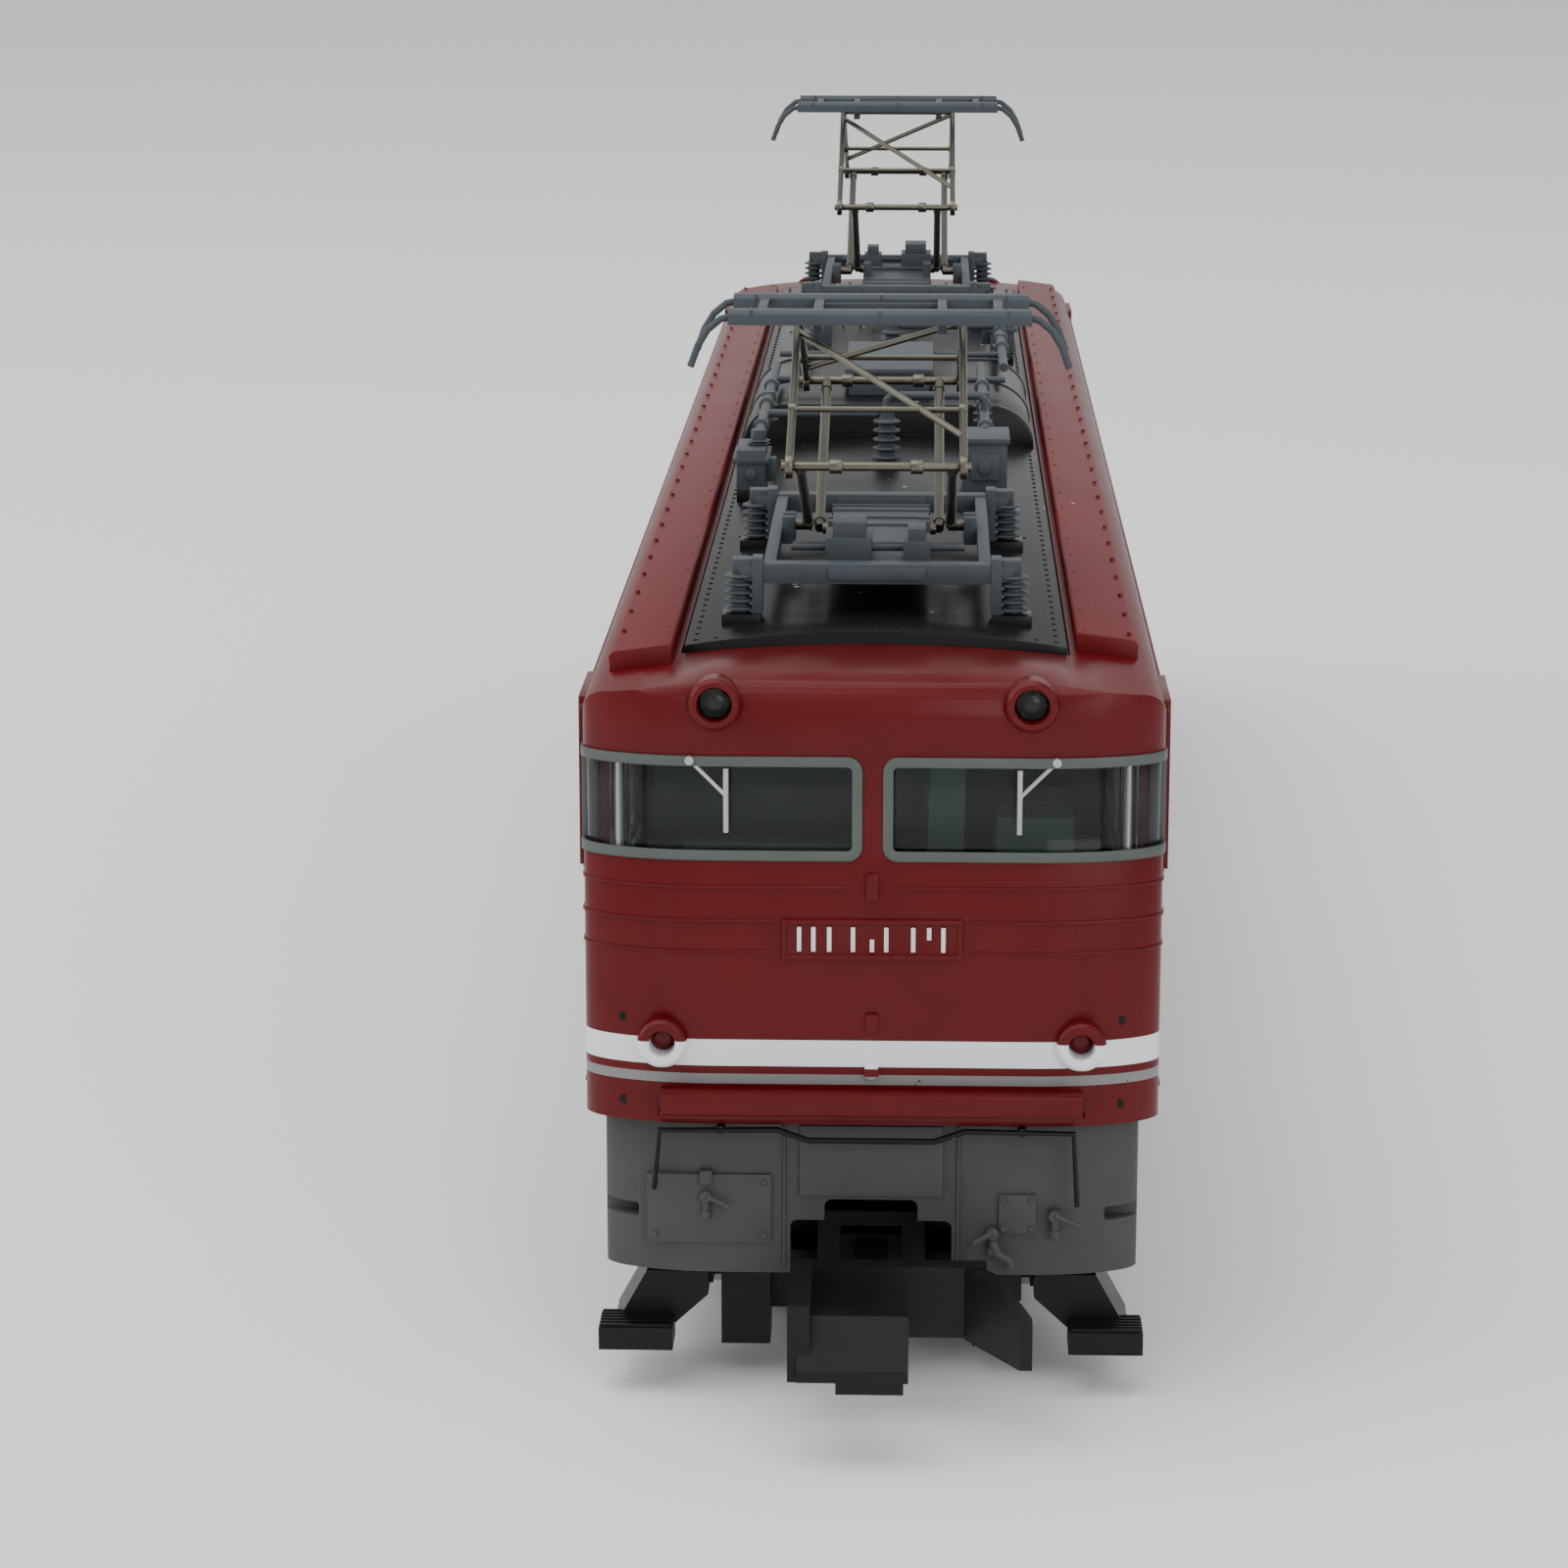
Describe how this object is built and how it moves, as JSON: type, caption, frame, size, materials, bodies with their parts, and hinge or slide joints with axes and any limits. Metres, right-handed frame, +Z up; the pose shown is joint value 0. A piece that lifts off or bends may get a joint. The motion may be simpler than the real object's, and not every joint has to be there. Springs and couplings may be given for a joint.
{
  "type": "model electric locomotive",
  "caption": "Small-scale model electric locomotive: red body, two driven bogies, sliding centre bogie, two crossed-arm pantographs, couplers and a geared drive.",
  "frame": {"origin": "on the rail surface plane under the flange bottoms, midway along and across the locomotive", "axes": "+Z up, Y along the locomotive with the front cab at -Y, X across it"},
  "size_m": [0.0188, 0.1212, 0.0348],
  "materials": {
    "body_red": "semi-gloss red moulding",
    "black": "satin black moulding",
    "skirt_grey": "matt warm grey moulding",
    "slate": "satin blue-grey moulding",
    "arm_bronze": "olive-brown plated wire",
    "steel": "bright turned steel",
    "zinc": "as-cast zinc alloy",
    "brass": "turned brass",
    "nylon": "natural nylon",
    "cab_green": "matt grey-green moulding",
    "board": "green circuit board",
    "clear": "clear moulding"
  },
  "bodies": {
    "chassis": {"body_shell": "body_red", "roof_panel": "black", "roof_equipment": "slate", "side_glazing_left": "clear", "side_glazing_right": "clear", "chassis_frame": "zinc", "motor_can": "steel", "circuit_board": "board", "underframe_cover": "black", "cab_glazing_front": "clear", "skirt_front": "skirt_grey", "cab_interior_front": "cab_green", "light_guide_front": "clear", "pantograph_base_front": "slate", "cab_glazing_rear": "clear", "skirt_rear": "skirt_grey", "cab_interior_rear": "cab_green", "light_guide_rear": "clear", "pantograph_base_rear": "slate"},
    "drive_shaft": {"motor_shaft": "steel", "worm_front": "brass", "worm_rear": "brass", "flywheel_front": "brass", "flywheel_rear": "brass"},
    "centre_slider": {"centre_bogie_slider": "black"},
    "centre_bogie": {"centre_bogie_frame": "black"},
    "trailing_axle_1": {"trailing_wheelset_1": "steel"},
    "trailing_axle_2": {"trailing_wheelset_2": "steel"},
    "bogie_front": {"bogie_frame_front": "black", "gearbox_front": "black"},
    "worm_wheel_front": {"worm_wheel_front": "nylon"},
    "idler_front_1": {"idler_gear_front_1": "nylon"},
    "axle_front_1": {"wheelset_front_1": "steel", "axle_gear_front_1": "nylon"},
    "idler_front_2": {"idler_gear_front_2": "nylon"},
    "axle_front_2": {"wheelset_front_2": "steel", "axle_gear_front_2": "nylon"},
    "coupler_swing_front": {"coupler_spring_front": "steel"},
    "coupler_front": {"coupler_front": "black"},
    "lower_a_front": {"lower_frame_a_front": "arm_bronze"},
    "upper_a_front": {"upper_frame_a_front": "arm_bronze"},
    "lower_b_front": {"lower_frame_b_front": "arm_bronze"},
    "upper_b_front": {"upper_frame_b_front": "arm_bronze"},
    "head_front": {"pantograph_head_front": "slate"},
    "bogie_rear": {"bogie_frame_rear": "black", "gearbox_rear": "black"},
    "worm_wheel_rear": {"worm_wheel_rear": "nylon"},
    "idler_rear_1": {"idler_gear_rear_1": "nylon"},
    "axle_rear_1": {"wheelset_rear_1": "steel", "axle_gear_rear_1": "nylon"},
    "idler_rear_2": {"idler_gear_rear_2": "nylon"},
    "axle_rear_2": {"wheelset_rear_2": "steel", "axle_gear_rear_2": "nylon"},
    "coupler_swing_rear": {"coupler_spring_rear": "steel"},
    "coupler_rear": {"coupler_rear": "black"},
    "lower_a_rear": {"lower_frame_a_rear": "arm_bronze"},
    "upper_a_rear": {"upper_frame_a_rear": "arm_bronze"},
    "lower_b_rear": {"lower_frame_b_rear": "arm_bronze"},
    "upper_b_rear": {"upper_frame_b_rear": "arm_bronze"},
    "head_rear": {"pantograph_head_rear": "slate"}
  },
  "joints": [
    {"name": "motor_turn", "type": "hinge", "parent": "chassis", "child": "drive_shaft", "pos_m": [0, 0, 0.0146], "axis": [0, 1, 0], "continuous": true},
    {"name": "centre_slide", "type": "slide", "parent": "chassis", "child": "centre_slider", "axis": [1, 0, 0], "range_m": [-0.001, 0.001]},
    {"name": "centre_swivel", "type": "hinge", "parent": "centre_slider", "child": "centre_bogie", "pos_m": [0, 0, 0.0075], "axis": [0, 0, 1], "range_deg": [-6, 6]},
    {"name": "trailing_roll_1", "type": "hinge", "parent": "centre_bogie", "child": "trailing_axle_1", "pos_m": [0, -0.006, 0.00347], "axis": [1, 0, 0], "continuous": true},
    {"name": "trailing_roll_2", "type": "hinge", "parent": "centre_bogie", "child": "trailing_axle_2", "pos_m": [0, 0.006, 0.00347], "axis": [1, 0, 0], "continuous": true},
    {"name": "bogie_swivel_front", "type": "hinge", "parent": "chassis", "child": "bogie_front", "pos_m": [0, -0.036, 0.009], "axis": [0, 0, 1], "range_deg": [-5, 5]},
    {"name": "worm_wheel_turn_front", "type": "hinge", "parent": "bogie_front", "child": "worm_wheel_front", "pos_m": [0, -0.036, 0.009], "axis": [1, 0, 0], "continuous": true},
    {"name": "idler_turn_front_1", "type": "hinge", "parent": "bogie_front", "child": "idler_front_1", "pos_m": [0, -0.04219, 0.00862], "axis": [1, 0, 0], "continuous": true},
    {"name": "axle_turn_front_1", "type": "hinge", "parent": "bogie_front", "child": "axle_front_1", "pos_m": [0, -0.04435, 0.00434], "axis": [1, 0, 0], "continuous": true},
    {"name": "idler_turn_front_2", "type": "hinge", "parent": "bogie_front", "child": "idler_front_2", "pos_m": [0, -0.02981, 0.00862], "axis": [1, 0, 0], "continuous": true},
    {"name": "axle_turn_front_2", "type": "hinge", "parent": "bogie_front", "child": "axle_front_2", "pos_m": [0, -0.02765, 0.00434], "axis": [1, 0, 0], "continuous": true},
    {"name": "coupler_swing_front", "type": "hinge", "parent": "bogie_front", "child": "coupler_swing_front", "pos_m": [0, -0.0512, 0.0042], "axis": [0, 0, 1], "range_deg": [-3, 3], "stiffness_Nm_per_rad": 0.00002},
    {"name": "coupler_lift_front", "type": "hinge", "parent": "coupler_swing_front", "child": "coupler_front", "pos_m": [0, -0.0512, 0.0042], "axis": [-1, 0, 0], "range_deg": [0, 8]},
    {"name": "lower_arm_a_front", "type": "hinge", "parent": "chassis", "child": "lower_a_front", "pos_m": [0, -0.0386, 0.02595], "axis": [-1, 0, 0], "range_deg": [-14.5, 5.5]},
    {"name": "upper_arm_a_front", "type": "hinge", "parent": "lower_a_front", "child": "upper_a_front", "pos_m": [0, -0.04897, 0.02962], "axis": [1, 0, 0], "range_deg": [-29.87, 11.33]},
    {"name": "lower_arm_b_front", "type": "hinge", "parent": "chassis", "child": "lower_b_front", "pos_m": [0, -0.0394, 0.02595], "axis": [1, 0, 0], "range_deg": [-14.5, 5.5]},
    {"name": "upper_arm_b_front", "type": "hinge", "parent": "lower_b_front", "child": "upper_b_front", "pos_m": [0, -0.02903, 0.02962], "axis": [-1, 0, 0], "range_deg": [-29.87, 11.33]},
    {"name": "head_level_front", "type": "hinge", "parent": "upper_a_front", "child": "head_front", "pos_m": [0, -0.0396, 0.03311], "axis": [-1, 0, 0], "range_deg": [-15.37, 5.83]},
    {"name": "bogie_swivel_rear", "type": "hinge", "parent": "chassis", "child": "bogie_rear", "pos_m": [0, 0.036, 0.009], "axis": [0, 0, 1], "range_deg": [-5, 5]},
    {"name": "worm_wheel_turn_rear", "type": "hinge", "parent": "bogie_rear", "child": "worm_wheel_rear", "pos_m": [0, 0.036, 0.009], "axis": [1, 0, 0], "continuous": true},
    {"name": "idler_turn_rear_1", "type": "hinge", "parent": "bogie_rear", "child": "idler_rear_1", "pos_m": [0, 0.04219, 0.00862], "axis": [1, 0, 0], "continuous": true},
    {"name": "axle_turn_rear_1", "type": "hinge", "parent": "bogie_rear", "child": "axle_rear_1", "pos_m": [0, 0.04435, 0.00434], "axis": [1, 0, 0], "continuous": true},
    {"name": "idler_turn_rear_2", "type": "hinge", "parent": "bogie_rear", "child": "idler_rear_2", "pos_m": [0, 0.02981, 0.00862], "axis": [1, 0, 0], "continuous": true},
    {"name": "axle_turn_rear_2", "type": "hinge", "parent": "bogie_rear", "child": "axle_rear_2", "pos_m": [0, 0.02765, 0.00434], "axis": [1, 0, 0], "continuous": true},
    {"name": "coupler_swing_rear", "type": "hinge", "parent": "bogie_rear", "child": "coupler_swing_rear", "pos_m": [0, 0.0512, 0.0042], "axis": [0, 0, 1], "range_deg": [-3, 3], "stiffness_Nm_per_rad": 0.00002},
    {"name": "coupler_lift_rear", "type": "hinge", "parent": "coupler_swing_rear", "child": "coupler_rear", "pos_m": [0, 0.0512, 0.0042], "axis": [1, 0, 0], "range_deg": [0, 8]},
    {"name": "lower_arm_a_rear", "type": "hinge", "parent": "chassis", "child": "lower_a_rear", "pos_m": [0, 0.0386, 0.02595], "axis": [1, 0, 0], "range_deg": [-17.5, 2.5]},
    {"name": "upper_arm_a_rear", "type": "hinge", "parent": "lower_a_rear", "child": "upper_a_rear", "pos_m": [0, 0.04876, 0.03016], "axis": [-1, 0, 0], "range_deg": [-36.05, 5.15]},
    {"name": "lower_arm_b_rear", "type": "hinge", "parent": "chassis", "child": "lower_b_rear", "pos_m": [0, 0.0394, 0.02595], "axis": [-1, 0, 0], "range_deg": [-17.5, 2.5]},
    {"name": "upper_arm_b_rear", "type": "hinge", "parent": "lower_b_rear", "child": "upper_b_rear", "pos_m": [0, 0.02924, 0.03016], "axis": [1, 0, 0], "range_deg": [-36.05, 5.15]},
    {"name": "head_level_rear", "type": "hinge", "parent": "upper_a_rear", "child": "head_rear", "pos_m": [0, 0.0396, 0.03416], "axis": [1, 0, 0], "range_deg": [-18.55, 2.65]}
  ],
  "couplings": [
    {"joint": "worm_wheel_turn_front", "follows": "motor_turn", "ratio": 0.05},
    {"joint": "idler_turn_front_1", "follows": "motor_turn", "ratio": -0.090909},
    {"joint": "axle_turn_front_1", "follows": "motor_turn", "ratio": 0.076923},
    {"joint": "idler_turn_front_2", "follows": "motor_turn", "ratio": -0.090909},
    {"joint": "axle_turn_front_2", "follows": "motor_turn", "ratio": 0.076923},
    {"joint": "upper_arm_a_front", "follows": "lower_arm_a_front", "ratio": 2.06},
    {"joint": "upper_arm_b_front", "follows": "lower_arm_a_front", "ratio": 2.06},
    {"joint": "lower_arm_b_front", "follows": "lower_arm_a_front", "ratio": 1},
    {"joint": "head_level_front", "follows": "lower_arm_a_front", "ratio": 1.06},
    {"joint": "worm_wheel_turn_rear", "follows": "motor_turn", "ratio": 0.05},
    {"joint": "idler_turn_rear_1", "follows": "motor_turn", "ratio": -0.090909},
    {"joint": "axle_turn_rear_1", "follows": "motor_turn", "ratio": 0.076923},
    {"joint": "idler_turn_rear_2", "follows": "motor_turn", "ratio": -0.090909},
    {"joint": "axle_turn_rear_2", "follows": "motor_turn", "ratio": 0.076923},
    {"joint": "upper_arm_a_rear", "follows": "lower_arm_a_rear", "ratio": 2.06},
    {"joint": "upper_arm_b_rear", "follows": "lower_arm_a_rear", "ratio": 2.06},
    {"joint": "lower_arm_b_rear", "follows": "lower_arm_a_rear", "ratio": 1},
    {"joint": "head_level_rear", "follows": "lower_arm_a_rear", "ratio": 1.06}
  ]
}
